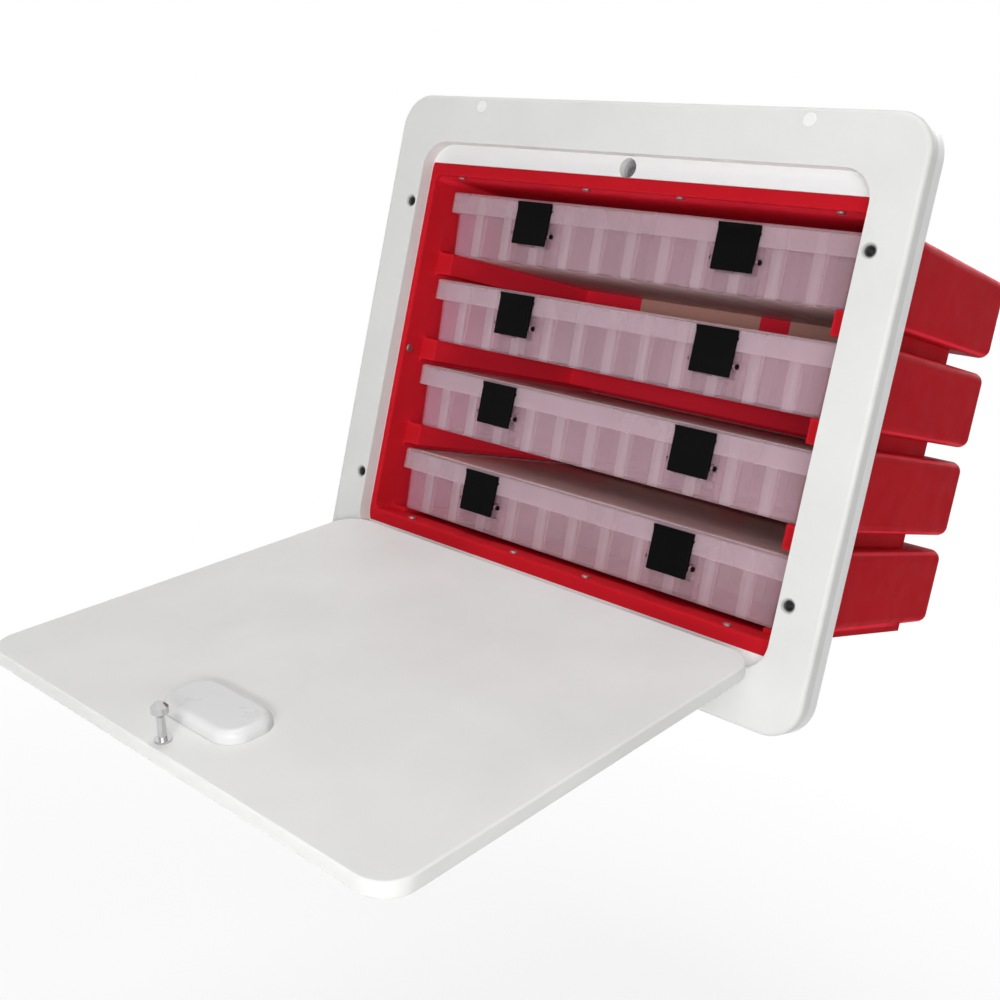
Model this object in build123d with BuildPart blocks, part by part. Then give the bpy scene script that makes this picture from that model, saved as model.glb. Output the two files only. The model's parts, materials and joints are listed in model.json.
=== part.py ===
from build123d import *
import os

"""Flush mounted tray box: a framed door, a moulded liner and four lidded trays.

X is across, Y is into the wall and Z is up. The origin is the centre of the
frame's back face, which lies on the wall. The door is drawn as it stands open.
"""

# Frame, milled from thick plastic sheet.
FRAME_W = 441.0
FRAME_H = 383.2
FRAME_T = 19.0
FRAME_R = 25.0
FRAME_ARRIS = 3.0
RIM_W = 31.0
RIM_H = 35.1
RECESS_R = 20.5
RECESS_DEPTH = 10.8
LEDGE_T = 5.2
CATCH_STRIP_H = 14.5
CATCH_HOLE_R = 7.0
CATCH_HOLE_RISE = 1.4

# Screws that hold the frame to the wall, and the capped holes above and below.
MOUNT_IN = 24.2
MOUNT_Z = 218.0
MOUNT_R = 2.6
MOUNT_HEAD_R = 5.2
MOUNT_SINK_ANGLE = 90.0
CAP_X = 277.0
CAP_IN = 8.0
CAP_R = 4.4
CAP_STEM_R = 2.5
CAP_H = 1.2
CAP_STEM_L = 9.0

# Trays.
TRAY_D = 232.0
TRAY_COUNT = 4
TRAY_GAP = 20.7
TRAY_FRONT = 8.2
TRAY_R = 3.0
LID_BAND = 15.8
LID_WALL = 1.8
LID_PLATE = 2.0
LID_ARRIS = 1.6
LID_PANEL_IN = 9.0
LID_PANEL_DEPTH = 0.8
BASE_WALL = 1.8
BASE_INSET = 3.0
BASE_TAPER = 3.4
BASE_FOOT_R = 1.6
ROWS = 3
SLOT_IN = 29.5
SLOT_COUNT = 11
SLOT_W = 1.8
PILASTER_W = 8.0
PILASTER_D = 1.8
DIVIDER_SLOTS = (-2, 2)
DIVIDER_T = 1.5
DIVIDER_ROOM = 8.5
PLAY = 0.25

# Tray latches.
LATCH_IN = 88.4
LATCH_W = 32.2
LATCH_H = 31.6
LATCH_DROP = 2.3
LATCH_PROUD = 3.0
LATCH_T = 2.4
LATCH_LIP = 0.6
LATCH_LIP_H = 2.4
LATCH_ARRIS = 0.8
PIVOT_DROP = 25.8
PIVOT_IN = 1.0
PIVOT_R = 1.3
PIVOT_BOSS_R = 1.9
PIVOT_FIT = 0.05
PIVOT_END = 1.4
EAR_GAP = 0.4
EAR_T = 1.8
EAR_R = 2.2
POCKET_DEPTH = 7.9
POCKET_PLAY = 0.5
POCKET_END = 1.0
HOOK_H = 2.0
HOOK_IN = 0.7
HOOK_FIT = 0.4
HOOK_DROP = 5.6

# Liner, formed from plastic sheet.
WALL = 2.5
FLANGE_T = 3.0
LINER_FIT = 0.3
MOUTH_SIDE = 4.9
MOUTH_HEAD = 24.0
MOUTH_FOOT = 20.5
HEAD_ROOM = 9.35
FOOT_ROOM = 3.85
SIDE_PLAY = 1.5
HEAD_PLAY = 4.0
REAR_PLAY = 0.8
LEDGE_W = 16.6
ROOF_REAR_DROP = 4.5
COLLAR_END = 11.0
NOSE_BACK = 51.0
CELL_R = 5.0
CELL_REAR_R = 4.5
CELL_DRAFT = 5.1
MOUTH_ARRIS = 1.6

# Liner screws, through the collar into the inner edge of the frame.
# Their places are given along half of the mouth, as they were set by eye.
TOP_SCREWS = (-0.87, -0.2, 0.24, 0.89)
FLOOR_SCREWS = (-0.79, -0.2, 0.17, 0.81)
SIDE_SCREW_Z = -4.5
SCREW_R = 1.5
SCREW_HEAD_R = 3.0
SCREW_HEAD_H = 1.5
SCREW_DOME = 0.6
SCREW_L = 12.0

# Door.
DOOR_T = 10.0
DOOR_GAP = 0.7
DOOR_SIDE_GAP = 0.8
DOOR_R = 20.0
DOOR_ARRIS = 1.5
DOOR_OPEN = 107.3

# Hinges.
LEAF_T = 1.2
LEAF_PLAY = 0.05
LEAF_DEPTH = 8.2
HINGE_IN = 71.5
HINGE_L = 76.0
KNUCKLES = 5
KNUCKLE_GAP = 0.3
BARREL_R = 2.45
HINGE_PIN_R = 1.2
HINGE_FIT = 0.05
AXIS_OUT = 2.7
HINGE_SCREW_R = 1.4
HINGE_SCREW_HEAD_R = 2.5
HINGE_SCREW_L = 11.0
HINGE_SCREW_PITCH = 29.0

# Pull cup and catch.
CUP_W = 72.0
CUP_H = 38.0
CUP_R = 15.0
CUP_WALL = 2.2
CUP_RISE = 7.6
CUP_RIM = 4.0
CUP_RIM_T = 1.5
CUP_DOME_R = 5.0
CUP_FIT = 0.15
CUP_FROM_EDGE = 44.8
CUP_LIP = 10.0
STUD_FROM_EDGE = 8.8
STUD_L = 23.5
STUD_R = 2.4
STUD_HEAD_R = 4.9
STUD_HEAD_H = 6.0
STUD_FOOT_R = 5.0
STUD_FOOT_H = 1.5
STUD_ROOT_R = 2.0
STUD_ROOT_L = 8.0
CATCH_W = 38.0
CATCH_BASE_H = 13.6
CATCH_BASE_T = 2.5
CATCH_BASE_R = 3.0
CATCH_WALL = 1.8
CATCH_L = 22.0
CATCH_SCREW_X = 29.0
CATCH_LET_IN = 0.6
SPRING_T = 0.5
SPRING_W = 6.0
SPRING_PLAY = 0.3
SPRING_NOSE_X = 3.4
SPRING_NOSE_Y = 4.6

# Places worked out from the sizes above.
RECESS_W = FRAME_W - 2 * RIM_W
RECESS_H = FRAME_H - 2 * RIM_H
MOUNT_X = FRAME_W - 2 * MOUNT_IN
CAP_Z = FRAME_H - 2 * CAP_IN
FACE_Y = -FRAME_T
FLANGE_Y = FACE_Y + RECESS_DEPTH
LEDGE_Y = -LEDGE_T
COLLAR_SCREW_Y = -LEDGE_T / 2
RECESS_FLOOR = -RECESS_H / 2
STRIP_Z = RECESS_H / 2 - CATCH_STRIP_H
ROOF_Z = RECESS_H / 2 - MOUTH_HEAD
FLOOR_Z = MOUTH_FOOT - RECESS_H / 2
CELL_HALF = RECESS_W / 2 - MOUTH_SIDE
LEDGE_X = CELL_HALF - LEDGE_W
TRAY_L = 2 * (CELL_HALF - CELL_DRAFT - SIDE_PLAY)
TRAY_PITCH = (ROOF_Z - HEAD_ROOM - FLOOR_Z - FOOT_ROOM + TRAY_GAP) / TRAY_COUNT
TRAY_H = TRAY_PITCH - TRAY_GAP
TRAY_TOP_Z = ROOF_Z - HEAD_ROOM - TRAY_H / 2
TRAY_Z = [TRAY_TOP_Z - TRAY_PITCH * i for i in range(TRAY_COUNT)]
TRAY_MID_Y = TRAY_FRONT + TRAY_D / 2
REAR_Y = TRAY_FRONT + TRAY_D + REAR_PLAY
NOSE_Y = REAR_Y - NOSE_BACK
OUTER_HALF = CELL_HALF + WALL
LATCH_X = TRAY_L / 2 - LATCH_IN
SLOT_PITCH = (TRAY_L - 2 * SLOT_IN) / (SLOT_COUNT - 1)
BASE_H = TRAY_H - LID_PLATE
DIVIDER_H = BASE_H - BASE_WALL - DIVIDER_ROOM
BASE_TOP_L = TRAY_L - 2 * BASE_INSET
BASE_TOP_D = TRAY_D - 2 * BASE_INSET
HINGE_Z = RECESS_FLOOR + LEAF_T + LEAF_PLAY
HINGE_Y = FACE_Y - AXIS_OUT
DOOR_FOOT = LEAF_T + LEAF_PLAY
HINGE_X = RECESS_W / 2 - HINGE_IN
DOOR_W = RECESS_W - 2 * DOOR_SIDE_GAP
DOOR_H = RECESS_H - (HINGE_Z - RECESS_FLOOR) - DOOR_FOOT - DOOR_GAP
INNER_FACE = -(AXIS_OUT + DOOR_T)
DOOR_PLANE = Plane(
    (0, HINGE_Y, HINGE_Z),
    x_dir=(1, 0, 0),
    z_dir=Vector(0, -1, 0).rotate(Axis.X, DOOR_OPEN),
)
CUP_UP = DOOR_FOOT + DOOR_H - CUP_FROM_EDGE
STUD_UP = DOOR_FOOT + DOOR_H - STUD_FROM_EDGE
CATCH_Z = HINGE_Z + STUD_UP + CATCH_HOLE_RISE


def facing(y):
    """Plane at depth y that looks out of the wall, with Z up."""
    return Plane.XZ.offset(-y)


def frame_part():
    with BuildPart() as part:
        with BuildSketch(facing(0)):
            RectangleRounded(FRAME_W, FRAME_H, FRAME_R)
        extrude(amount=FRAME_T)
        fillet(part.faces().sort_by(Axis.Y)[0].edges(), FRAME_ARRIS)
        with BuildSketch(facing(FLANGE_Y)):
            RectangleRounded(RECESS_W, RECESS_H, RECESS_R)
        extrude(amount=RECESS_DEPTH, mode=Mode.SUBTRACT)
        with BuildSketch(facing(LEDGE_Y)):
            RectangleRounded(RECESS_W, RECESS_H, RECESS_R)
            with Locations((0, STRIP_Z)):
                Rectangle(RECESS_W, CATCH_STRIP_H, align=(Align.CENTER, Align.MIN), mode=Mode.SUBTRACT)
        extrude(amount=FRAME_T - LEDGE_T - RECESS_DEPTH, mode=Mode.SUBTRACT)
        with BuildSketch(facing(0)):
            with Locations((0, (ROOF_Z + FLOOR_Z) / 2)):
                RectangleRounded(
                    2 * (OUTER_HALF + LINER_FIT),
                    ROOF_Z - FLOOR_Z + 2 * (WALL + LINER_FIT),
                    CELL_R + WALL + LINER_FIT,
                )
        extrude(amount=LEDGE_T, mode=Mode.SUBTRACT)
        with BuildSketch(facing(0)):
            with Locations((0, ROOF_Z)):
                Rectangle(
                    CATCH_W + 2 * CATCH_LET_IN,
                    CATCH_Z + CATCH_HOLE_R + CATCH_WALL + CATCH_LET_IN - ROOF_Z,
                    align=(Align.CENTER, Align.MIN),
                )
        extrude(amount=CATCH_BASE_T, mode=Mode.SUBTRACT)
        with Locations(facing(FACE_Y)):
            with GridLocations(MOUNT_X, MOUNT_Z, 2, 2):
                CounterSinkHole(MOUNT_R, MOUNT_HEAD_R, FRAME_T, MOUNT_SINK_ANGLE)
            with GridLocations(CAP_X, CAP_Z, 2, 2):
                CounterBoreHole(CAP_STEM_R, CAP_R, CAP_H / 2, CAP_STEM_L + CAP_H / 2)
        with Locations(facing(FLANGE_Y)):
            with Locations((0, CATCH_Z)):
                Hole(CATCH_HOLE_R, FRAME_T)
        with Locations(Plane((0, 0, CATCH_Z), x_dir=(1, 0, 0), z_dir=(0, 1, 0))):
            with GridLocations(CATCH_SCREW_X, 0, 2, 1):
                Hole(SCREW_R, LEDGE_T)
        for place in collar_screw_planes():
            with Locations(place):
                Hole(SCREW_R, SCREW_L)
        for place in frame_hinge_screw_planes():
            with Locations(place):
                Hole(HINGE_SCREW_R, HINGE_SCREW_L)
    return part.part


def collar_screw_planes():
    """Planes on the inside of the liner's collar that face into the box."""
    planes = []
    for height, rows, look in ((ROOF_Z, TOP_SCREWS, -1), (FLOOR_Z, FLOOR_SCREWS, 1)):
        for share in rows:
            spot = (share * CELL_HALF, COLLAR_SCREW_Y, height)
            planes.append(Plane(spot, x_dir=(1, 0, 0), z_dir=(0, 0, look)))
    for side in (-1, 1):
        spot = (side * CELL_HALF, COLLAR_SCREW_Y, SIDE_SCREW_Z)
        planes.append(Plane(spot, x_dir=(0, 1, 0), z_dir=(-side, 0, 0)))
    return planes


def frame_hinge_screw_planes():
    """Planes on top of the frame leaves, where the frame's screws start."""
    y = FACE_Y + LEAF_DEPTH / 2
    z = RECESS_FLOOR + LEAF_T
    return [
        Plane((side * HINGE_X + step * HINGE_SCREW_PITCH / 2, y, z), x_dir=(1, 0, 0), z_dir=(0, 0, 1))
        for side in (-1, 1)
        for step in (-1, 1)
    ]


def door_hinge_screw_planes():
    """Planes on the door leaves, seen from the hinge side of the door."""
    across = -(AXIS_OUT + LEAF_DEPTH / 2)
    planes = []
    for side in (-1, 1):
        for step in (-1, 1):
            x = side * HINGE_X + step * HINGE_SCREW_PITCH / 2
            spot = DOOR_PLANE.from_local_coords(Vector(x, LEAF_PLAY, across))
            planes.append(Plane(spot, x_dir=(1, 0, 0), z_dir=-DOOR_PLANE.y_dir))
    return planes


def cell_shape(grow):
    """Room for four trays and the open front of the liner, grown by a wall thickness."""
    half = CELL_HALF + grow
    bays = []
    for index, z in enumerate(TRAY_Z):
        low = z - TRAY_H / 2 - PLAY - grow
        high = (ROOF_Z if index == 0 else z + TRAY_H / 2 + HEAD_PLAY) + grow
        drop = ROOF_REAR_DROP if index == 0 else 0
        with BuildPart() as bay:
            with BuildSketch(facing(COLLAR_END - WALL)):
                with Locations((0, (high + low) / 2)):
                    RectangleRounded(2 * half, high - low, CELL_R + grow)
            with BuildSketch(facing(REAR_Y + grow)):
                with Locations((0, (high + low - drop) / 2)):
                    RectangleRounded(2 * (half - CELL_DRAFT), high - low - drop, CELL_R + grow)
            loft()
            fillet(bay.faces().sort_by(Axis.Y)[-1].edges(), CELL_REAR_R + grow)
        bays.append(bay.part)
    with BuildPart() as part:
        for bay in bays:
            add(bay)
        with BuildSketch(facing(NOSE_Y + grow)):
            with Locations((0, FLOOR_Z - grow)):
                Rectangle(2 * (LEDGE_X + grow), TRAY_TOP_Z - FLOOR_Z, align=(Align.CENTER, Align.MIN))
                if grow:
                    Rectangle(2 * (half - CELL_DRAFT), TRAY_Z[-1] - FLOOR_Z, align=(Align.CENTER, Align.MIN))
        extrude(amount=NOSE_Y + grow - COLLAR_END)
        with BuildSketch(facing(COLLAR_END + grow)):
            with Locations((0, (ROOF_Z + FLOOR_Z) / 2)):
                RectangleRounded(2 * half, ROOF_Z - FLOOR_Z + 2 * grow, CELL_R + grow)
        extrude(amount=COLLAR_END + grow - FLANGE_Y)
    return part.part


def liner_part():
    with BuildPart() as part:
        add(cell_shape(WALL))
        with BuildSketch(facing(LEDGE_Y)):
            RectangleRounded(RECESS_W - 2 * LINER_FIT, RECESS_H - 2 * LINER_FIT, RECESS_R - LINER_FIT)
            with Locations((0, STRIP_Z - LINER_FIT)):
                Rectangle(RECESS_W, CATCH_STRIP_H * 2, align=(Align.CENTER, Align.MIN), mode=Mode.SUBTRACT)
        extrude(amount=FLANGE_T)
        add(cell_shape(0), mode=Mode.SUBTRACT)
        mouth = part.faces().filter_by(Axis.Y).sort_by(Axis.Y)[0].inner_wires()[0]
        fillet(mouth.edges(), MOUTH_ARRIS)
        for place in collar_screw_planes():
            with Locations(place):
                Hole(SCREW_R, WALL + LINER_FIT)
    return part.part


def screw(head_r, head_h, shank_r, length, place):
    """Pan headed screw with its seat on the place's plane."""
    with BuildPart(place) as part:
        with BuildSketch(place):
            Circle(head_r)
        extrude(amount=head_h)
        fillet(part.faces().sort_by(Axis((0, 0, 0), tuple(place.z_dir)))[-1].edges(), head_h * SCREW_DOME)
        with BuildSketch(place):
            Circle(shank_r)
        extrude(amount=-length)
    return part.part


def sunk_screw(head_r, sink, shank_r, length, place):
    """Countersunk screw with its flat head level with the place's plane."""
    with BuildPart() as part:
        with BuildSketch(place):
            Circle(head_r)
        with BuildSketch(place.offset(-sink)):
            Circle(shank_r)
        loft()
        with BuildSketch(place):
            Circle(shank_r)
        extrude(amount=-length)
    return part.part


def joined(pieces):
    """Several loose solids as one node."""
    with BuildPart() as part:
        for piece in pieces:
            add(piece)
    return part.part


def tray_hollow(floor):
    """Rows inside a tray's base, with room kept for the latch pockets."""
    shrink = BASE_H * tan_taper()
    length = BASE_TOP_L - 2 * shrink - 2 * BASE_WALL
    depth = BASE_TOP_D - 2 * shrink - 2 * BASE_WALL
    row = (BASE_TOP_D - 2 * BASE_WALL) / ROWS
    back = TRAY_FRONT + BASE_INSET + POCKET_DEPTH + BASE_WALL
    with BuildPart() as part:
        with BuildSketch(Plane.XY.offset(floor + BASE_WALL)):
            with Locations((0, TRAY_MID_Y)):
                RectangleRounded(length, depth, TRAY_R - BASE_WALL)
        extrude(amount=BASE_H, taper=-BASE_TAPER)
        with BuildSketch(Plane.XY.offset(floor)):
            with Locations((0, TRAY_MID_Y)):
                with GridLocations(0, row, 1, ROWS - 1):
                    Rectangle(TRAY_L, BASE_WALL)
            with Locations((-LATCH_X, TRAY_FRONT), (LATCH_X, TRAY_FRONT)):
                Rectangle(
                    LATCH_W + 2 * (BASE_WALL + POCKET_PLAY),
                    back - TRAY_FRONT,
                    align=(Align.CENTER, Align.MIN),
                )
        extrude(amount=BASE_H, mode=Mode.SUBTRACT)
        with BuildSketch(Plane.XY.offset(floor)):
            for y, turn in ((TRAY_FRONT + BASE_INSET, 1), (TRAY_FRONT + TRAY_D - BASE_INSET, -1)):
                middle = y + turn * (shrink + BASE_WALL + PILASTER_D) / 2
                with Locations((0, middle)):
                    with GridLocations(SLOT_PITCH, 0, SLOT_COUNT, 1):
                        Rectangle(PILASTER_W, shrink + BASE_WALL + PILASTER_D)
                        Rectangle(SLOT_W, shrink + BASE_WALL + PILASTER_D, mode=Mode.SUBTRACT)
        extrude(amount=BASE_H, mode=Mode.SUBTRACT)
    return part.part


def tan_taper():
    """Run of the base's slanted side for each unit of its height."""
    slope = Vector(1, 0, 0).rotate(Axis.Z, BASE_TAPER)
    return slope.Y / slope.X


def pivot_spot(z):
    """Depth and height of a latch pivot on the tray centred at z."""
    return TRAY_FRONT + PIVOT_IN, z + TRAY_H / 2 - PIVOT_DROP


def tray_base(z):
    floor = z - TRAY_H / 2
    shrink = BASE_H * tan_taper()
    pivot_y, pivot_z = pivot_spot(z)
    ear_root = TRAY_FRONT + BASE_INSET + POCKET_DEPTH
    skirt = z + TRAY_H / 2 - LATCH_DROP - LATCH_H
    with BuildPart() as part:
        with BuildSketch(Plane.XY.offset(floor)):
            with Locations((0, TRAY_MID_Y)):
                RectangleRounded(BASE_TOP_L - 2 * shrink, BASE_TOP_D - 2 * shrink, TRAY_R)
        extrude(amount=BASE_H, taper=-BASE_TAPER)
        fillet(part.faces().sort_by(Axis.Z)[0].edges(), BASE_FOOT_R)
        for side in (-1, 1):
            with BuildSketch(Plane.YZ.offset(side * LATCH_X)):
                with Locations((0, (skirt + pivot_z + EAR_R) / 2)):
                    Rectangle(2 * ear_root, pivot_z + EAR_R - skirt + 2 * POCKET_END)
            extrude(amount=LATCH_W / 2 + POCKET_PLAY, both=True, mode=Mode.SUBTRACT)
            for end in (-1, 1):
                reach = LATCH_W / 2 + EAR_GAP + EAR_T / 2
                with BuildSketch(Plane.YZ.offset(side * LATCH_X + end * reach)):
                    with BuildLine():
                        Polyline(
                            (ear_root, pivot_z - 2 * EAR_R),
                            (ear_root, pivot_z + EAR_R),
                            (pivot_y, pivot_z + EAR_R),
                            (pivot_y, pivot_z - EAR_R),
                            close=True,
                        )
                    make_face()
                    with Locations((pivot_y, pivot_z)):
                        Circle(EAR_R)
                        Circle(PIVOT_R + PIVOT_FIT, mode=Mode.SUBTRACT)
                extrude(amount=EAR_T / 2, both=True)
        add(tray_hollow(floor), mode=Mode.SUBTRACT)
    return part.part


def tray_lid(z):
    top = z + TRAY_H / 2
    groove = top - LATCH_DROP - HOOK_DROP
    with BuildPart() as part:
        with BuildSketch(Plane.XY.offset(top - LID_BAND)):
            with Locations((0, TRAY_MID_Y)):
                RectangleRounded(TRAY_L, TRAY_D, TRAY_R)
        extrude(amount=LID_BAND)
        fillet(part.faces().sort_by(Axis.Z)[-1].edges(), LID_ARRIS)
        with BuildSketch(Plane.XY.offset(top - LID_BAND)):
            with Locations((0, TRAY_MID_Y)):
                RectangleRounded(TRAY_L - 2 * LID_WALL, TRAY_D - 2 * LID_WALL, TRAY_R - LID_WALL)
        extrude(amount=LID_BAND - LID_PLATE, mode=Mode.SUBTRACT)
        with BuildSketch(Plane.XY.offset(top)):
            with Locations((0, TRAY_MID_Y)):
                RectangleRounded(TRAY_L - 2 * LID_PANEL_IN, TRAY_D - 2 * LID_PANEL_IN, TRAY_R)
        extrude(amount=-LID_PANEL_DEPTH, mode=Mode.SUBTRACT)
        for side in (-1, 1):
            with BuildSketch(facing(TRAY_FRONT)):
                with Locations((side * LATCH_X, groove)):
                    Rectangle(LATCH_W + 2 * POCKET_PLAY, HOOK_H + 2 * HOOK_FIT)
            extrude(amount=-(HOOK_IN + HOOK_FIT), mode=Mode.SUBTRACT)
    return part.part


def tray_dividers(z):
    """Loose cross walls that stand in the slots of a tray's rows."""
    row = (BASE_TOP_D - 2 * BASE_WALL) / ROWS
    with BuildPart() as part:
        with BuildSketch(Plane.XY.offset(z - TRAY_H / 2 + BASE_WALL)):
            for slot in DIVIDER_SLOTS:
                with Locations((slot * SLOT_PITCH, TRAY_MID_Y)):
                    with GridLocations(0, row, 1, ROWS):
                        Rectangle(DIVIDER_T, row - 2 * BASE_WALL - 2 * tan_taper() * BASE_H)
        extrude(amount=DIVIDER_H)
    return part.part


def latch_part(x, z):
    """Snap latch with its two pivot stubs."""
    pivot_y, pivot_z = pivot_spot(z)
    top = z + TRAY_H / 2 - LATCH_DROP
    front = TRAY_FRONT - LATCH_PROUD
    hook = top - HOOK_DROP
    with BuildPart() as part:
        with BuildSketch(Plane.YZ.offset(x - LATCH_W / 2)):
            with BuildLine():
                Polyline(
                    (front, top - LATCH_H),
                    (front + LATCH_T, top - LATCH_H),
                    (front + LATCH_T, hook - HOOK_H / 2),
                    (TRAY_FRONT + HOOK_IN, hook),
                    (TRAY_FRONT + HOOK_IN, hook + HOOK_H / 2),
                    (front + LATCH_T, hook + HOOK_H / 2),
                    (front + LATCH_T, top),
                    (front - LATCH_LIP, top),
                    (front, top - LATCH_LIP_H),
                    close=True,
                )
            make_face()
            with Locations((pivot_y, pivot_z)):
                Circle(PIVOT_BOSS_R)
                Rectangle(pivot_y - front, 2 * PIVOT_BOSS_R, align=(Align.MAX, Align.CENTER))
        extrude(amount=LATCH_W)
        fillet(part.edges().filter_by(Axis.X).sort_by(Axis.Z)[:2], LATCH_ARRIS)
        fillet(part.edges().filter_by(Axis.Z).group_by(Axis.Y)[0], LATCH_ARRIS)
        with BuildSketch(Plane.YZ.offset(x)):
            with Locations((pivot_y, pivot_z)):
                Circle(PIVOT_R)
        extrude(amount=LATCH_W / 2 + EAR_GAP + EAR_T + PIVOT_END, both=True)
    return part.part


def door_panel():
    with BuildPart() as part:
        with BuildSketch(DOOR_PLANE.offset(INNER_FACE)):
            with Locations((0, DOOR_FOOT + DOOR_H / 2)):
                RectangleRounded(DOOR_W, DOOR_H, DOOR_R)
        extrude(amount=DOOR_T)
        along = Axis((0, 0, 0), tuple(DOOR_PLANE.z_dir))
        fillet(part.faces().sort_by(along)[0].edges(), DOOR_ARRIS)
        fillet(part.faces().sort_by(along)[-1].edges(), DOOR_ARRIS)
        with BuildSketch(DOOR_PLANE.offset(INNER_FACE)):
            with Locations((0, CUP_UP)):
                RectangleRounded(CUP_W + 2 * CUP_FIT, CUP_H + 2 * CUP_FIT, CUP_R + CUP_FIT)
        extrude(amount=DOOR_T, mode=Mode.SUBTRACT)
        with BuildSketch(DOOR_PLANE.offset(-AXIS_OUT - CUP_RIM_T)):
            with Locations((0, CUP_UP)):
                grow = 2 * (CUP_RIM + CUP_FIT)
                RectangleRounded(CUP_W + grow, CUP_H + grow, CUP_R + grow / 2)
        extrude(amount=CUP_RIM_T, mode=Mode.SUBTRACT)
        with Locations(DOOR_PLANE.offset(INNER_FACE) * Location((0, STUD_UP, 0), (180, 0, 0))):
            Hole(STUD_ROOT_R, STUD_ROOT_L)
        for place in door_hinge_screw_planes():
            with Locations(place):
                Hole(HINGE_SCREW_R, HINGE_SCREW_L)
    return part.part


def pull_cup():
    middle = CUP_UP
    back = INNER_FACE - CUP_RISE
    with BuildPart() as part:
        with BuildSketch(DOOR_PLANE.offset(back)):
            with Locations((0, middle)):
                RectangleRounded(CUP_W, CUP_H, CUP_R)
        extrude(amount=-AXIS_OUT - back)
        along = Axis((0, 0, 0), tuple(DOOR_PLANE.z_dir))
        fillet(part.faces().sort_by(along)[0].edges(), CUP_DOME_R)
        with BuildSketch(DOOR_PLANE.offset(-AXIS_OUT - CUP_RIM_T)):
            with Locations((0, middle)):
                RectangleRounded(CUP_W + 2 * CUP_RIM, CUP_H + 2 * CUP_RIM, CUP_R + CUP_RIM)
        extrude(amount=CUP_RIM_T)
        with BuildSketch(DOOR_PLANE.offset(back + CUP_WALL)):
            with Locations((0, middle)):
                RectangleRounded(CUP_W - 2 * CUP_WALL, CUP_H - 2 * CUP_WALL, CUP_R - CUP_WALL)
        extrude(amount=-AXIS_OUT - CUP_WALL - back - CUP_WALL, mode=Mode.SUBTRACT)
        with BuildSketch(DOOR_PLANE.offset(-AXIS_OUT - 2 * CUP_WALL)):
            with Locations((0, middle - CUP_LIP / 2)):
                RectangleRounded(CUP_W - 2 * CUP_WALL, CUP_H - 2 * CUP_WALL - CUP_LIP, CUP_R - 2 * CUP_WALL)
        extrude(amount=2 * CUP_WALL, mode=Mode.SUBTRACT)
    return part.part


def strike_stud():
    """Turned stud that the catch in the frame grips."""
    place = Plane(
        DOOR_PLANE.from_local_coords(Vector(0, STUD_UP, INNER_FACE)),
        x_dir=(1, 0, 0),
        z_dir=DOOR_PLANE.y_dir,
    )
    neck = STUD_L - STUD_HEAD_H
    with BuildPart() as part:
        with BuildSketch(place):
            with BuildLine():
                Polyline(
                    (0, -STUD_ROOT_L),
                    (STUD_ROOT_R, -STUD_ROOT_L),
                    (STUD_ROOT_R, 0),
                    (STUD_FOOT_R, 0),
                    (STUD_FOOT_R, STUD_FOOT_H),
                    (STUD_R, STUD_FOOT_H),
                    (STUD_R, neck - STUD_R),
                    (STUD_HEAD_R, neck),
                    (STUD_HEAD_R, STUD_L - STUD_R),
                    (STUD_HEAD_R - STUD_R, STUD_L),
                    (0, STUD_L),
                    close=True,
                )
            make_face()
        revolve(axis=Axis(place.origin, -DOOR_PLANE.z_dir))
    return part.part


def hinge_leaf(place, odd):
    """One leaf on its plane, whose X is the hinge axis and whose Y is the leaf's outer side."""
    step = HINGE_L / KNUCKLES
    with BuildPart() as part:
        with BuildSketch(place.offset(-AXIS_OUT - LEAF_DEPTH)):
            for side in (-1, 1):
                with Locations((side * HINGE_X, LEAF_PLAY)):
                    Rectangle(HINGE_L, LEAF_T, align=(Align.CENTER, Align.MIN))
        extrude(amount=AXIS_OUT + LEAF_DEPTH)
        for side in (-1, 1):
            for knuckle in range(KNUCKLES):
                x = side * HINGE_X + (knuckle - (KNUCKLES - 1) / 2) * step
                spot = place.from_local_coords(Vector(x, 0, 0))
                across = Plane(spot, x_dir=place.y_dir, z_dir=place.x_dir)
                mine = knuckle % 2 == odd
                with BuildSketch(across):
                    Circle(BARREL_R if mine else BARREL_R + HINGE_FIT * 2)
                extrude(
                    amount=step / 2 - KNUCKLE_GAP / 2 if mine else step / 2 + KNUCKLE_GAP / 2,
                    both=True,
                    mode=Mode.ADD if mine else Mode.SUBTRACT,
                )
        with BuildSketch(Plane(place.origin, x_dir=place.y_dir, z_dir=place.x_dir)):
            Circle(HINGE_PIN_R + HINGE_FIT)
        extrude(amount=FRAME_W / 2, both=True, mode=Mode.SUBTRACT)
    return part.part


def hinge_pins():
    with BuildPart() as part:
        for side in (-1, 1):
            with BuildSketch(Plane.YZ.offset(side * HINGE_X)):
                with Locations((HINGE_Y, HINGE_Z)):
                    Circle(HINGE_PIN_R)
            extrude(amount=HINGE_L / 2, both=True)
    return part.part


def leaf_with_holes(leaf, places):
    """The leaf with a countersunk hole at each screw."""
    with BuildPart() as part:
        add(leaf)
        for place in places:
            with BuildSketch(place):
                Circle(HINGE_SCREW_HEAD_R)
            with BuildSketch(place.offset(-LEAF_T)):
                Circle(HINGE_SCREW_R)
            loft(mode=Mode.SUBTRACT)
    return part.part


def frame_caps():
    with BuildPart() as part:
        with Locations(facing(FACE_Y)):
            with GridLocations(CAP_X, CAP_Z, 2, 2):
                Cylinder(CAP_STEM_R, CAP_STEM_L, align=(Align.CENTER, Align.CENTER, Align.MAX))
                with Locations((0, 0, -CAP_H / 2)):
                    Cylinder(CAP_R, CAP_H, align=(Align.CENTER, Align.CENTER, Align.MIN))
        fillet(part.faces().group_by(Axis.Y)[0].edges(), CAP_H / 3)
    return part.part


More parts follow.
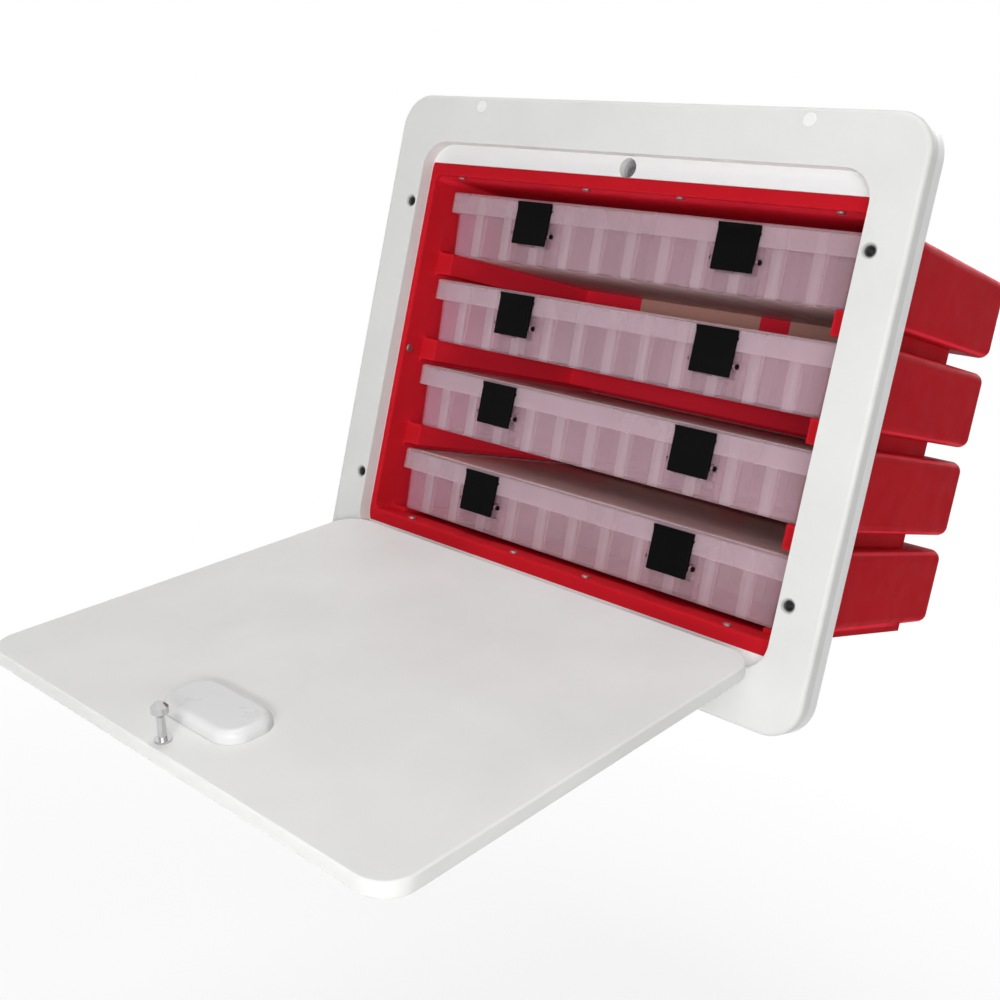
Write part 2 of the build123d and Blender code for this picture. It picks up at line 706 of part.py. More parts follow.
def catch_body():
    inner = CATCH_HOLE_R
    outer = inner + CATCH_WALL
    with BuildPart() as part:
        with BuildSketch(facing(0)):
            with Locations((0, CATCH_Z)):
                RectangleRounded(CATCH_W, CATCH_BASE_H, CATCH_BASE_R)
        extrude(amount=CATCH_BASE_T)
        with BuildSketch(facing(CATCH_L)):
            with Locations((0, CATCH_Z)):
                Circle(outer)
        extrude(amount=CATCH_L + CATCH_BASE_T)
        with BuildSketch(facing(CATCH_L - CATCH_WALL)):
            with Locations((0, CATCH_Z)):
                Circle(inner)
        extrude(amount=CATCH_L + CATCH_BASE_T, mode=Mode.SUBTRACT)
        with Locations(Plane((0, 0, CATCH_Z), x_dir=(1, 0, 0), z_dir=(0, 1, 0))):
            with GridLocations(CATCH_SCREW_X, 0, 2, 1):
                Hole(SCREW_R, CATCH_BASE_T)
    return part.part


def catch_springs():
    """Two bowed leaf springs that grip the stud behind its head."""
    wall = CATCH_HOLE_R - SPRING_T - SPRING_PLAY
    with BuildPart() as part:
        for side in (-1, 1):
            with BuildSketch(Plane.XY.offset(CATCH_Z - SPRING_W / 2)):
                with BuildLine():
                    Polyline(
                        (side * wall, CATCH_BASE_T / 4),
                        (side * SPRING_NOSE_X, SPRING_NOSE_Y),
                        (side * wall, 2 * SPRING_NOSE_Y),
                        (side * wall, CATCH_L - CATCH_WALL),
                        (side * (wall - SPRING_T), CATCH_L - CATCH_WALL),
                        (side * (wall - SPRING_T), 2 * SPRING_NOSE_Y),
                        (side * (SPRING_NOSE_X - SPRING_T), SPRING_NOSE_Y),
                        (side * (wall - SPRING_T), CATCH_BASE_T / 4),
                        close=True,
                    )
                make_face()
            extrude(amount=SPRING_W)
    return part.part


def catch_screws():
    places = [
        Plane((side * CATCH_SCREW_X / 2, 0, CATCH_Z), x_dir=(1, 0, 0), z_dir=(0, 1, 0))
        for side in (-1, 1)
    ]
    return joined([screw(SCREW_HEAD_R, SCREW_HEAD_H, SCREW_R, LEDGE_T, place) for place in places])


def all_parts():
    frame_leaf_plane = Plane((0, HINGE_Y, HINGE_Z), x_dir=(-1, 0, 0), z_dir=(0, -1, 0))
    frame_places = frame_hinge_screw_planes()
    door_places = door_hinge_screw_planes()
    sink = (HINGE_SCREW_HEAD_R, LEAF_T, HINGE_SCREW_R, HINGE_SCREW_L)
    parts = {
        "frame": frame_part(),
        "liner": liner_part(),
        "liner_screws": joined(
            [screw(SCREW_HEAD_R, SCREW_HEAD_H, SCREW_R, SCREW_L, p) for p in collar_screw_planes()]
        ),
        "frame_caps": frame_caps(),
        "frame_hinge_leaves": leaf_with_holes(hinge_leaf(frame_leaf_plane, 0), frame_places),
        "frame_hinge_screws": joined([sunk_screw(*sink, p) for p in frame_places]),
        "hinge_pins": hinge_pins(),
        "catch_body": catch_body(),
        "catch_springs": catch_springs(),
        "catch_screws": catch_screws(),
        "door_panel": door_panel(),
        "door_hinge_leaves": leaf_with_holes(hinge_leaf(DOOR_PLANE, 1), door_places),
        "door_hinge_screws": joined([sunk_screw(*sink, p) for p in door_places]),
        "pull_cup": pull_cup(),
        "strike_stud": strike_stud(),
    }
    for index, z in enumerate(TRAY_Z):
        number = index + 1
        parts[f"tray_base_{number}"] = tray_base(z)
        parts[f"tray_lid_{number}"] = tray_lid(z)
        parts[f"tray_dividers_{number}"] = tray_dividers(z)
        parts[f"tray_latch_{number}_left"] = latch_part(-LATCH_X, z)
        parts[f"tray_latch_{number}_right"] = latch_part(LATCH_X, z)
    return parts


os.makedirs("parts", exist_ok=True)
for name, solid in all_parts().items():
    solid.label = name
    export_step(solid, f"parts/{name}.step")
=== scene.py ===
import json
from math import cos, radians, sin, sqrt

import bmesh
import bpy
from mathutils import Matrix, Quaternion, Vector


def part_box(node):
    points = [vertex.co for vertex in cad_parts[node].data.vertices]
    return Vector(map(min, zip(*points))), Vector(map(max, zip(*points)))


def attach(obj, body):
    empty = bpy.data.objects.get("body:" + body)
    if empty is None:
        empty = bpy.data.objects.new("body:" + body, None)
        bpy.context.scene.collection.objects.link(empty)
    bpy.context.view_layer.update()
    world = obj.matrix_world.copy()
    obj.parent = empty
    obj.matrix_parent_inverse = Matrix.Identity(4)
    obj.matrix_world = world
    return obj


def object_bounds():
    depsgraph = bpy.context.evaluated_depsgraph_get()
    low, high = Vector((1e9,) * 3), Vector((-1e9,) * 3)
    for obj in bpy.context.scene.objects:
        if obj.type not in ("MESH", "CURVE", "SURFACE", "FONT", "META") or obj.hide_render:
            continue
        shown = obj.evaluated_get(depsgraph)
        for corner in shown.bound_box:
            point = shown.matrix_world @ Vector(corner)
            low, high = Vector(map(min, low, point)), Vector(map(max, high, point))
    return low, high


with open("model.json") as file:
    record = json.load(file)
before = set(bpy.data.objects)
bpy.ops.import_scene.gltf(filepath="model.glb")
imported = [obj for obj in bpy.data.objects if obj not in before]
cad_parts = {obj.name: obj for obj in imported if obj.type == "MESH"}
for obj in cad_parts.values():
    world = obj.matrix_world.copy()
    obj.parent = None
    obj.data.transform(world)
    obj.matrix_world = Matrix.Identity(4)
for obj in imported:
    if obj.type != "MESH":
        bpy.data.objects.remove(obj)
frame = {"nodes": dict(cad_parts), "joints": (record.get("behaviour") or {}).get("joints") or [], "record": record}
CAD_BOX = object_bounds()
TRAYS = (1, 2, 3, 4)
SIDES = ("left", "right")

# Places are in metres. Those that follow the CAD are worked out from the frame.
LINER_LOW, LINER_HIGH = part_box("liner")
HOLES = frame["record"]["mounts"][0]["dims"]
PIVOTS = {joint["child"]: joint["pos_m"] for joint in frame["joints"] if joint["type"] == "hinge"}

# Camera, fitted to the photograph's corners. The roll is in degrees, lens and sensor in millimetres.
CAMERA_PLACE = Vector((0.55255, -0.72845, 0.01531))
CAMERA_AIM = Vector((-0.02351, -0.04569, -0.09414))
CAMERA_ROLL = 11.2014
CAMERA_LENS = 45.993
SENSOR = 36.0
CLIP_START = 0.01

# Lamps: name, place, width, height and power in watts.
LAMPS = (
    ("key", (-0.3, -0.6, 2.3), 1.4, 1.4, 30),
    ("strip", (0.9, -1.3, 0.0), 1.2, 0.14, 10),
    ("low", (0.75, -1.35, -0.5), 1.0, 0.6, 5),
    ("high", (0.75, -1.45, 0.45), 1.0, 0.4, 3.5),
    ("back", (0.2, 1.9, 1.0), 1.4, 1.0, 11),
)

# Strength of the world as a light, and of the background where it is seen.
WORLD_LIGHT = 0.16
BACKDROP = 1.0

# Floor, whose share of glow grows between two distances from the origin.
FLOOR_DROP = 0.3
FLOOR_HALF = 6.0
FLOOR_GLOW = (0.84, 1.0)
FLOOR_FADE = (0.35, 1.1)

# Colours, in linear light.
WHITE = (0.74, 0.74, 0.73)
# Painted light: the frame's recess, which lies in shade behind the front, is painted a lighter white.
RECESS_LIT_WHITE = (0.84, 0.83, 0.83)
DOOR_WHITE = (0.80, 0.80, 0.79)
CAP_WHITE = (0.86, 0.86, 0.85)
CUP_WHITE = (0.74, 0.74, 0.74)
CATCH_WHITE = (0.62, 0.62, 0.61)
FLOOR_WHITE = (0.92, 0.92, 0.92)
# Painted shade in the frame's countersinks and their bores.
SINK_SHADE_GREY = (0.22, 0.22, 0.21)
BORE_SHADE_BLACK = (0.05, 0.05, 0.05)
LATCH_BLACK = (0.004, 0.004, 0.0045)
RED = (0.56, 0.012, 0.021)
# Painted light on the liner's inner faces and roof, lighter than RED.
PAINTED_LIGHT_RED = (0.92, 0.03, 0.06)
# Painted shade in the gaps between trays; the liner itself is red there.
GAP_SHADE_BROWN = (0.66, 0.36, 0.31)
TRAY_PINK = (0.70, 0.45, 0.53)
LID_PINK = (0.72, 0.54, 0.61)
DIVIDER_PINK = (0.72, 0.58, 0.62)
RIB_PINK = (0.76, 0.56, 0.63)
END_PINK = (0.74, 0.34, 0.47)
# Painted light on the level faces of trays and lids.
LEVEL_LIT_PINK = (0.88, 0.68, 0.68)

# Screw holes in the frame's sides, and the face of its recess.
MOUNT_X = HOLES["spacing_x_mm"] / 2000
MOUNT_Z = HOLES["spacing_y_mm"] / 2000
MOUNT_BORE = 0.0032
MOUNT_SINK = 0.0054
BORE_EDGE = 0.0006
# Painted light begins at this depth: the recess face behind it is painted a lighter white.
RECESS_Y = (-0.0095, -0.0090)

# Trays: middle of the uppermost, half the height of each, and the step from one to the next.
TRAY_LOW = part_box("tray_base_1")[0].z
TRAY_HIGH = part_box("tray_lid_1")[1].z
FIRST_TRAY_Z = (TRAY_LOW + TRAY_HIGH) / 2
TRAY_HALF_H = (TRAY_HIGH - TRAY_LOW) / 2
TRAY_PITCH = TRAY_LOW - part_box("tray_base_2")[0].z

# Painted light on the level faces at a tray's top and foot, painted paler and cloudier where the gaps leave them
# in shade: half the height of the zone that holds them, the upright parts of a face's normal where they begin, and
# the haze added.
LEVEL_HALF = 0.0013
LEVEL_TILT = (0.94, 0.98)
LEVEL_LIT_HAZE = 0.55

# Slot strips behind a tray's wall, and the pinker left end of each tray.
RIB_PITCH = 0.0297
RIB_HALF = 0.0043
RIB_EDGE = 0.0007
RIB_SPAN = 0.156
RIB_SPAN_EDGE = 0.001
RIB_HAZE = 0.25
PINK_END = (-0.17, -0.10)

# Surface midway through the liner's wall, which parts its inner faces from its outer ones.
# The floor stays out of it, as INSIDE_LOW lies just above the floor. The noses between the
# cells stand in by GROOVE_IN at the sides and by VALLEY_IN at the rear.
INSIDE_X = LINER_HIGH.x - 0.0034
INSIDE_Y = LINER_HIGH.y - 0.0010
INSIDE_TOP = LINER_HIGH.z - 0.0079
INSIDE_LOW = LINER_LOW.z + 0.0217
SIDE_DRAFT = 0.0212
ROOF_DRAFT = 0.0187
GROOVE_IN = 0.0165
VALLEY_IN = 0.0513
NOSE_UNDER_TRAY = 0.00155
NOSE_OVER_TRAY = 0.00525
NOSE_TOP = TRAY_LOW - NOSE_UNDER_TRAY
NOSE_FOOT = TRAY_HIGH - TRAY_PITCH + NOSE_OVER_TRAY
NOSES = [
    (NOSE_FOOT - TRAY_PITCH * index, NOSE_TOP - TRAY_PITCH * index)
    for index in range(len(TRAYS) - 1)
]

# Where painted light makes the liner's inner faces lighter: from its lip to LIGHT_DEPTH, and along its roof.
LIP_Y = (-0.005, -0.004)
LIGHT_DEPTH = 0.10
ROOF_SHARE = 0.8
ROOF_Z = (INSIDE_TOP - 0.0068, INSIDE_TOP - 0.0028)

# Painted shade: brown bands at the rear of the upper and the lower gap between trays, standing for the dim,
# brownish look of the shaded trays deep in these gaps.
BAND_DROP = 0.00025
BAND_Z = [(NOSES[index][0] + NOSES[index][1]) / 2 - BAND_DROP for index in (0, 2)]
BAND_HALF = 0.0095
BAND_Y = (LINER_HIGH.y - 0.0615, LINER_HIGH.y - 0.0521)
BAND_X = ((-0.108, 0.012), (0.039, 0.16))

# Stubs of the latches, with the distance from the latch's middle and the radius at each ring.
STUB_SIDES = 24
STUB_PROFILE = (
    (0.0155, 0.0016),
    (0.0157, 0.0019),
    (0.0189, 0.0019),
    (0.0195, 0.0016),
    (0.0198, 0.0009),
)

# White strip over the foot of the liner's flange, as wide as the frame's recess.
FLANGE_PLAY = 0.0002
RECESS_HALF_W = LINER_HIGH.x + FLANGE_PLAY
RECESS_FLOOR = LINER_LOW.z - FLANGE_PLAY
RECESS_R = 0.0204
SILL_TOP = RECESS_FLOOR + 0.0103
SILL_FRONT = LINER_LOW.y - 0.0004
SILL_BACK = LINER_LOW.y + 0.0001
ARC_STEPS = 12


class Tree:
    """Node tree with short calls for the nodes used here."""

    def __init__(self, owner):
        owner.use_nodes = True
        self.nodes = owner.node_tree.nodes
        self.links = owner.node_tree.links

    def link(self, source, target):
        self.links.new(source, target)

    def math(self, operation, *values):
        """Result of one operation on numbers and sockets."""
        node = self.nodes.new("ShaderNodeMath")
        node.operation = operation
        for index, value in enumerate(values):
            if isinstance(value, (int, float)):
                node.inputs[index].default_value = value
            else:
                self.link(value, node.inputs[index])
        return node.outputs[0]

    def seen(self):
        """One for rays that show the background, by sight, in a gloss or through the trays."""
        path = self.nodes.new("ShaderNodeLightPath").outputs
        direct = self.math("MAXIMUM", path["Is Camera Ray"], path["Is Glossy Ray"])
        return self.math("MAXIMUM", direct, path["Is Transmission Ray"])

    def show_mix(self, share, first, second, output):
        """Sends a mix of two shaders to the output node."""
        mix = self.nodes.new("ShaderNodeMixShader")
        for index, source in enumerate((share, first, second)):
            self.link(source, mix.inputs[index])
        self.link(mix.outputs[0], output.inputs["Surface"])


class Look(Tree):
    """A material, painted by the object's coordinates."""

    def __init__(self, name):
        self.material = bpy.data.materials.new(name)
        super().__init__(self.material)
        self.shader = self.nodes["Principled BSDF"]
        self.output = self.nodes["Material Output"]
        coordinates = self.nodes.new("ShaderNodeTexCoord")
        self.place = coordinates.outputs["Object"]
        self.normal = coordinates.outputs["Normal"]

    def set(self, **values):
        """Sets constants on the shader, with underscores for spaces."""
        for key, value in values.items():
            self.shader.inputs[key.replace("_", " ")].default_value = value

    def axes(self, source=None):
        """The three parts of a vector, or of the place."""
        node = self.nodes.new("ShaderNodeSeparateXYZ")
        self.link(source or self.place, node.inputs[0])
        return node.outputs

    def noise(self, scale, detail=3.0, roughness=0.5, stretch=None):
        node = self.nodes.new("ShaderNodeTexNoise")
        node.inputs["Scale"].default_value = scale
        node.inputs["Detail"].default_value = detail
        node.inputs["Roughness"].default_value = roughness
        source = self.place
        if stretch:
            mapping = self.nodes.new("ShaderNodeMapping")
            mapping.inputs["Scale"].default_value = stretch
            self.link(self.place, mapping.inputs["Vector"])
            source = mapping.outputs["Vector"]
        self.link(source, node.inputs["Vector"])
        return node.outputs["Fac"]

    def ramp(self, source, low, high, start=0.3, end=0.7):
        """Goes from low to high while the source goes from start to end."""
        node = self.nodes.new("ShaderNodeMapRange")
        node.inputs["From Min"].default_value = start
        node.inputs["From Max"].default_value = end
        node.inputs["To Min"].default_value = low
        node.inputs["To Max"].default_value = high
        self.link(source, node.inputs["Value"])
        return node.outputs["Result"]

    def between(self, source, low, high, edge=0.0004):
        """One where a coordinate lies between two values, zero elsewhere."""
        above = self.ramp(source, 0.0, 1.0, low, low + edge)
        below = self.ramp(source, 1.0, 0.0, high - edge, high)
        return self.math("MULTIPLY", above, below)

    def positive(self, source, edge=0.0003):
        """One above zero, zero below it, with a narrow blend."""
        return self.ramp(source, 0.0, 1.0, -edge, edge)

    def distance(self, first, second):
        """Length of a line with the given extent along two axes."""
        squares = [self.math("POWER", value, 2.0) for value in (first, second)]
        return self.math("SQRT", self.math("ADD", *squares))

    def blend(self, factor, first, second):
        """The first colour where the factor is zero, the second where it is one."""
        node = self.nodes.new("ShaderNodeMix")
        node.data_type = "RGBA"
        for index, value in ((6, first), (7, second)):
            if isinstance(value, tuple):
                node.inputs[index].default_value = (*value, 1)
            else:
                self.link(value, node.inputs[index])
        self.link(factor, node.inputs[0])
        return node.outputs[2]

    def mottled(self, scale, detail, color, shade):
        """The colour with patches of a darker shade of it."""
        patches = self.ramp(self.noise(scale, detail), 0.0, 1.0)
        return self.blend(patches, tuple(c * shade for c in color), color)

    def color(self, socket):
        self.link(socket, self.shader.inputs["Base Color"])

    def rough(self, socket):
        self.link(socket, self.shader.inputs["Roughness"])

    def bump(self, source, distance, strength):
        node = self.nodes.new("ShaderNodeBump")
        node.inputs["Distance"].default_value = distance
        node.inputs["Strength"].default_value = strength
        self.link(source, node.inputs["Height"])
        self.link(node.outputs["Normal"], self.shader.inputs["Normal"])


def plastic(name, color, rough=0.45, shade=0.94, grain=2200.0, depth=0.00004,
            spec=0.2, scuff=0.05, marks=None):
    """Moulded or milled plastic: mottled colour, fine grain and faint scuffs."""
    look = Look(name)
    tone = look.mottled(14.0, 4.0, color, shade)
    streaks = look.noise(55.0, detail=6.0, roughness=0.7, stretch=(0.25, 1.0, 1.6))
    scratches = look.ramp(streaks, 0.0, scuff, start=0.58, end=0.72)
    tone = look.blend(scratches, tone, tuple(min(1.0, c + 0.12) for c in color))
    if marks:
        tone = marks(look, tone)
    look.color(tone)
    look.rough(look.ramp(look.noise(60.0, detail=5.0), rough * 0.85, rough * 1.2))
    look.bump(look.noise(grain, detail=2.0), depth, strength=0.35)
    look.set(Specular_IOR_Level=spec)
    return look.material


def frame_marks(look, tone):
    """Painted light on the recess face, a lighter white than the front, and painted shade in the four
    countersinks, darkest in their bores.
    """
    x, y, z = look.axes()
    # Painted light: faces deeper than RECESS_Y are painted a lighter white.
    tone = look.blend(look.ramp(y, 0.0, 1.0, *RECESS_Y), tone, RECESS_LIT_WHITE)
    across = look.math("SUBTRACT", look.math("ABSOLUTE", x), MOUNT_X)
    along = look.math("SUBTRACT", look.math("ABSOLUTE", z), MOUNT_Z)
    away = look.distance(across, along)
    # Painted shade: grey on the countersink's cone and black in its bore, where shade falls in the holes.
    cone = look.ramp(away, 1.0, 0.0, MOUNT_BORE, MOUNT_SINK)
    bore = look.ramp(away, 1.0, 0.0, MOUNT_BORE, MOUNT_BORE + BORE_EDGE)
    return look.blend(bore, look.blend(cone, tone, SINK_SHADE_GREY), BORE_SHADE_BLACK)


def painted_inner_light(look, tone):
    """Painted light: a lighter red on the inner faces, more so towards the rear, standing in for light that
    reaches into the cavity and comes through the sheet.
    """
    x, y, z = look.axes()
    nose = look.between(z, *NOSES[0])
    for span in NOSES[1:]:
        nose = look.math("ADD", nose, look.between(z, *span))
    side = look.math("SUBTRACT", INSIDE_X, look.math("MULTIPLY", nose, GROOVE_IN))
    draft = look.math("MULTIPLY", y, SIDE_DRAFT)
    draft = look.math("MULTIPLY", draft, look.math("SUBTRACT", 1.0, nose))
    across = look.math("SUBTRACT", look.math("SUBTRACT", side, look.math("ABSOLUTE", x)), draft)
    rear = look.math("SUBTRACT", INSIDE_Y, look.math("MULTIPLY", nose, VALLEY_IN))
    deep = look.math("SUBTRACT", rear, y)
    top = look.math("SUBTRACT", INSIDE_TOP, look.math("MULTIPLY", y, ROOF_DRAFT))
    high = look.math("SUBTRACT", top, z)
    low = look.math("SUBTRACT", z, INSIDE_LOW)
    # Painted light on the roof, which faces down into shade.
    roof = look.ramp(z, 0.0, ROOF_SHARE, *ROOF_Z)
    roof = look.math("MULTIPLY", roof, look.ramp(y, 0.0, 1.0, *LIP_Y))
    share = look.math("MAXIMUM", look.ramp(y, 0.0, 1.0, LIP_Y[1], LIGHT_DEPTH), roof)
    for room in (across, deep, high, low):
        share = look.math("MULTIPLY", share, look.positive(room))
    return look.blend(share, tone, PAINTED_LIGHT_RED)


def liner_marks(look, tone):
    """Painted light on the inside, and painted shade as pale brown bands at the rear of the upper and the lower
    gap.
    """
    tone = painted_inner_light(look, tone)
    x, y, z = look.axes()
    rows = [look.between(z, middle - BAND_HALF, middle + BAND_HALF) for middle in BAND_Z]
    parts = [look.between(x, *span) for span in BAND_X]
    share = look.math("MULTIPLY", look.math("ADD", *rows), look.math("ADD", *parts))
    share = look.math("MULTIPLY", share, look.between(y, *BAND_Y))
    # Painted shade: brown at the rear of the upper and the lower gap.
    return look.blend(share, tone, GAP_SHADE_BROWN)


def steel(name, color=(0.55, 0.55, 0.56), rough=0.3, stretch=(1.0, 1.0, 1.0), grain=900.0):
    """Stainless steel with fine turned or brushed lines."""
    look = Look(name)
    look.color(look.mottled(40.0, 4.0, color, shade=0.8))
    look.rough(look.ramp(look.noise(grain, stretch=stretch), rough * 0.7, rough * 1.3))
    look.bump(look.noise(grain, stretch=stretch), 0.00002, strength=0.3)
    look.set(Metallic=1.0)
    return look.material


def rib_band(look, x):
    """One on the slot strips that stand behind the tray's wall."""
    wave = look.math("ABSOLUTE", look.math("WRAP", x, RIB_PITCH / 2, -RIB_PITCH / 2))
    band = look.ramp(wave, 1.0, 0.0, RIB_HALF - RIB_EDGE, RIB_HALF + RIB_EDGE)
    near = look.ramp(look.math("ABSOLUTE", x), 1.0, 0.0, RIB_SPAN - RIB_SPAN_EDGE, RIB_SPAN)
    return look.math("MULTIPLY", band, near)


def level_face(look, end):
    """One on the level faces at the top of every tray, end 1, or at its foot, end -1."""
    above = look.math("SUBTRACT", look.axes()[2], FIRST_TRAY_Z)
    z = look.math("WRAP", above, TRAY_PITCH / 2, -TRAY_PITCH / 2)
    face = look.between(z, end * TRAY_HALF_H - LEVEL_HALF, end * TRAY_HALF_H + LEVEL_HALF)
    upright = look.math("ABSOLUTE", look.axes(look.normal)[2])
    return look.math("MULTIPLY", face, look.ramp(upright, 0.0, 1.0, *LEVEL_TILT))


def frosted(name, color, cover, rough=0.4, ribs=False, end=None):
    """Translucent polypropylene, cloudier on ribs, with painted light on level faces. Cover is the share of haze.
    """
    look = Look(name)
    tone = look.mottled(22.0, 4.0, color, shade=0.93)
    haze = look.ramp(look.noise(9.0), cover * 0.92, cover * 1.08)
    if ribs:
        x = look.axes()[0]
        tone = look.blend(look.ramp(x, 0.8, 0.0, *PINK_END), tone, END_PINK)
        band = rib_band(look, x)
        tone = look.blend(band, tone, RIB_PINK)
        haze = look.math("ADD", haze, look.math("MULTIPLY", band, cover * RIB_HAZE))
    if end:
        # Painted light: level faces painted paler and cloudier, where the gaps leave them in shade.
        face = level_face(look, end)
        tone = look.blend(face, tone, LEVEL_LIT_PINK)
        haze = look.math("ADD", haze, look.math("MULTIPLY", face, LEVEL_LIT_HAZE))
    look.color(tone)
    look.rough(look.ramp(look.noise(70.0, detail=4.0), rough * 0.8, rough * 1.2))
    look.bump(look.noise(60.0, detail=1.0), 0.00003, strength=0.2)
    look.link(haze, look.shader.inputs["Alpha"])
    look.set(Specular_IOR_Level=0.3)
    return look.material


LOOKS = {
    "frame": plastic("milled_white_sheet", WHITE, rough=0.42, marks=frame_marks),
    "door": plastic("door_white_sheet", DOOR_WHITE, rough=0.4),
    "caps": plastic("white_cap", CAP_WHITE, rough=0.3),
    "cup": plastic("white_moulding", CUP_WHITE, rough=0.3, depth=0.00002, spec=0.4),
    "catch": plastic("catch_moulding", CATCH_WHITE, rough=0.35),
    "liner": plastic("red_formed_sheet", RED, rough=0.5, shade=0.9, grain=1500.0,
                     spec=0.015, scuff=0.02, marks=liner_marks),
    "latch": plastic("black_moulding", LATCH_BLACK, rough=0.5, shade=0.7, spec=0.03, scuff=0.015),
    "tray": frosted("frosted_tray", TRAY_PINK, 0.34, ribs=True, end=-1),
    "lid": frosted("frosted_lid", LID_PINK, 0.35, end=1),
    "divider": frosted("frosted_divider", DIVIDER_PINK, 0.24),
    "steel": steel("brushed_hinge", stretch=(0.05, 1.0, 1.0)),
    "screw": steel("turned_screw", color=(0.58, 0.58, 0.57), rough=0.35),
    "collar_screw": steel("dull_screw", color=(0.34, 0.21, 0.21), rough=0.55),
    "stud": steel("turned_stud", color=(0.66, 0.66, 0.66), rough=0.2),
}
NODE_LOOKS = {
    "frame": "frame",
    "door_panel": "door",
    "frame_caps": "caps",
    "pull_cup": "cup",
    "catch_body": "catch",
    "liner": "liner",
    "liner_screws": "collar_screw",
    "frame_hinge_screws": "screw",
    "door_hinge_screws": "screw",
    "catch_screws": "screw",
    "frame_hinge_leaves": "steel",
    "door_hinge_leaves": "steel",
    "hinge_pins": "steel",
    "catch_springs": "steel",
    "strike_stud": "stud",
}
for tray in TRAYS:
    NODE_LOOKS[f"tray_base_{tray}"] = "tray"
    NODE_LOOKS[f"tray_lid_{tray}"] = "lid"
    NODE_LOOKS[f"tray_dividers_{tray}"] = "divider"
    for side in SIDES:
        NODE_LOOKS[f"tray_latch_{tray}_{side}"] = "latch"


def dress(node, look):
    """Puts a look on every material slot of a CAD node."""
    for slot in frame["nodes"][node].material_slots:
        slot.link = "OBJECT"
        slot.material = LOOKS[look]


def closed_skin(rings):
    """Faces through rings of as many points each, closed at both ends."""
    build = bmesh.new()
    loops = [[build.verts.new(spot) for spot in ring] for ring in rings]
    for first, second in zip(loops, loops[1:]):
        for index in range(len(first)):
            after = (index + 1) % len(first)
            build.faces.new((first[index], first[after], second[after], second[index]))
    build.faces.new(loops[0])
    build.faces.new(loops[-1])
    bmesh.ops.recalc_face_normals(build, faces=build.faces)
    return build


def add_mesh(name, build, material):
    """Object in the scene with the built faces and one material."""
    mesh = bpy.data.meshes.new(name)
    build.to_mesh(mesh)
    build.free()
    mesh.materials.append(material)
    made = bpy.data.objects.new(name, mesh)
    bpy.context.scene.collection.objects.link(made)
    return made


def add_sill():
    """White strip of the frame below the liner's flange, beside the door's rear corners."""
    middle_x = RECESS_HALF_W - RECESS_R
    middle_z = RECESS_FLOOR + RECESS_R
    edge = middle_x + sqrt(RECESS_R ** 2 - (SILL_TOP - middle_z) ** 2)
    outline = [(-edge, SILL_TOP)]
    for side in (-1, 1):
        for index in range(ARC_STEPS + 1):
            turn = radians(90) * (index if side < 0 else ARC_STEPS - index) / ARC_STEPS
            z = middle_z - RECESS_R * sin(turn)
            if z <= SILL_TOP:
                outline.append((side * (middle_x + RECESS_R * cos(turn)), z))
    outline.append((edge, SILL_TOP))
    rings = [[(x, y, z) for x, z in outline] for y in (SILL_FRONT, SILL_BACK)]
    sill = add_mesh("frame_sill", closed_skin(rings), LOOKS["frame"])
    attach(sill, "case")


def add_stub(tray, side):
    """Moulded stub at the right end of a latch, round the end of its pivot."""
    latch = f"latch_{tray}_{side}"
    middle, y, z = PIVOTS[latch]
    turns = [radians(360) * index / STUB_SIDES for index in range(STUB_SIDES)]
    rings = [
        [(middle + reach, y + radius * cos(turn), z + radius * sin(turn)) for turn in turns]
        for reach, radius in STUB_PROFILE
    ]
    stub = add_mesh(f"latch_stub_{tray}_{side}", closed_skin(rings), LOOKS["latch"])
    for face in stub.data.polygons:
        face.use_smooth = len(face.vertices) == 4
    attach(stub, latch)


def floor_look():
    """Pale material that takes shadows near the object and is white further out."""
    look = Look("floor_white")
    look.set(Base_Color=(*FLOOR_WHITE, 1), Roughness=0.8)
    glow = look.nodes.new("ShaderNodeEmission")
    glow.inputs["Strength"].default_value = BACKDROP
    x, y, _ = look.axes()
    away = look.distance(x, y)
    share = look.math("MULTIPLY", look.seen(), look.ramp(away, *FLOOR_GLOW, *FLOOR_FADE))
    look.show_mix(share, look.shader.outputs[0], glow.outputs[0], look.output)
    return look.material


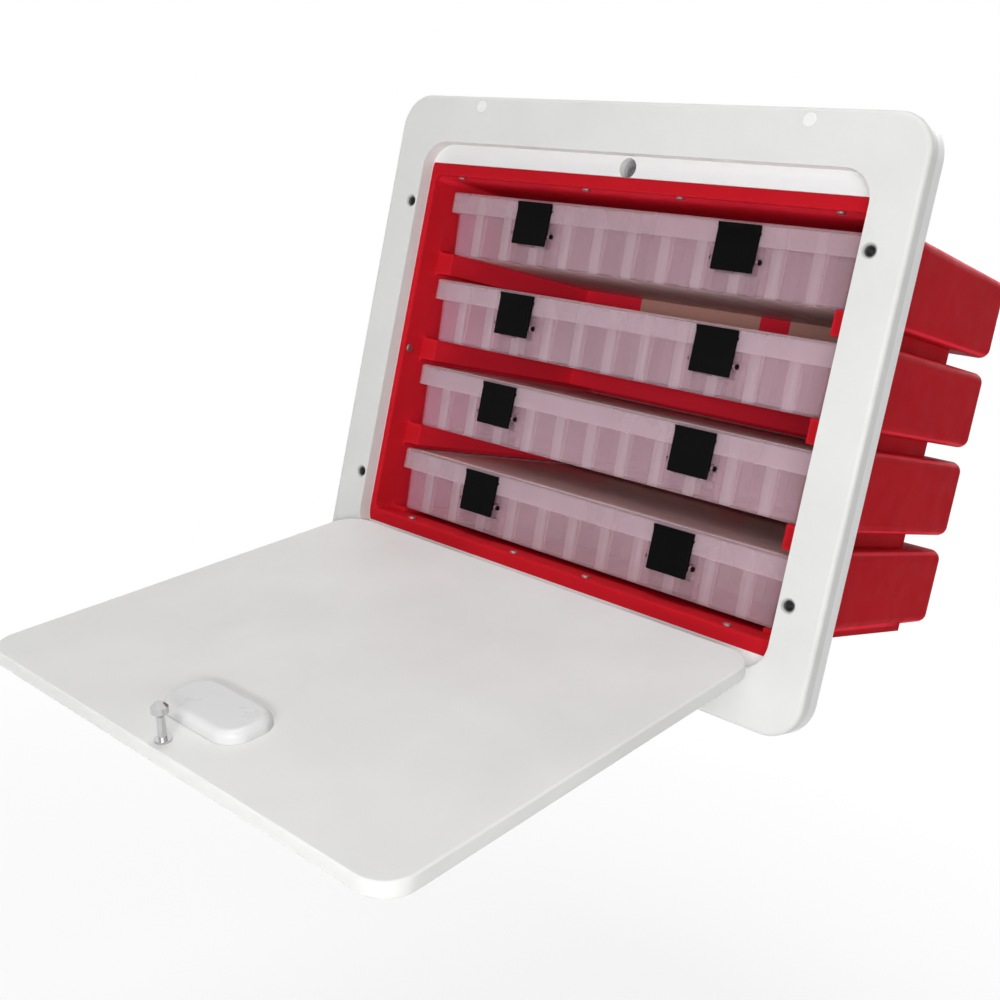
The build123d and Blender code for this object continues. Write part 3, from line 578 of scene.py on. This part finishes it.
def add_floor():
    """Large floor below the object, which isn't part of it."""
    build = bmesh.new()
    place = Matrix.Translation((0, 0, CAD_BOX[0][2] - FLOOR_DROP))
    bmesh.ops.create_grid(build, x_segments=2, y_segments=2, size=FLOOR_HALF, matrix=place)
    add_mesh("floor", build, floor_look())


def add_world():
    """Dim light from all sides, and a white background where it is seen."""
    world = bpy.data.worlds.new("studio")
    tree = Tree(world)
    light = tree.nodes["Background"]
    white = tree.nodes.new("ShaderNodeBackground")
    for node, strength in ((light, WORLD_LIGHT), (white, BACKDROP)):
        node.inputs["Color"].default_value = (1, 1, 1, 1)
        node.inputs["Strength"].default_value = strength
    tree.show_mix(tree.seen(), light.outputs[0], white.outputs[0], tree.nodes["World Output"])
    bpy.context.scene.world = world


def add_lamp(name, place, width, height, power):
    """Soft lamp that looks at the middle of the scene."""
    data = bpy.data.lights.new(name, "AREA")
    data.shape = "ELLIPSE"
    data.size = width
    data.size_y = height
    data.energy = power
    lamp = bpy.data.objects.new(name, data)
    lamp.location = place
    lamp.rotation_euler = (-Vector(place)).to_track_quat("-Z", "Y").to_euler()
    bpy.context.scene.collection.objects.link(lamp)


def add_camera():
    """Camera at the photograph's place, turned about its own axis by the roll."""
    data = bpy.data.cameras.new("camera")
    data.lens = CAMERA_LENS
    data.sensor_width = SENSOR
    data.sensor_fit = "HORIZONTAL"
    data.clip_start = CLIP_START
    camera = bpy.data.objects.new("camera", data)
    aim = (CAMERA_AIM - CAMERA_PLACE).to_track_quat("-Z", "Y")
    turn = aim @ Quaternion((0, 0, 1), radians(CAMERA_ROLL))
    camera.matrix_world = Matrix.Translation(CAMERA_PLACE) @ turn.to_matrix().to_4x4()
    bpy.context.scene.collection.objects.link(camera)
    bpy.context.scene.camera = camera


for node, look in NODE_LOOKS.items():
    dress(node, look)
add_sill()
for tray in TRAYS:
    for side in SIDES:
        add_stub(tray, side)
add_floor()
add_world()
for lamp in LAMPS:
    add_lamp(*lamp)
add_camera()
bpy.context.scene.view_settings.view_transform = "Standard"
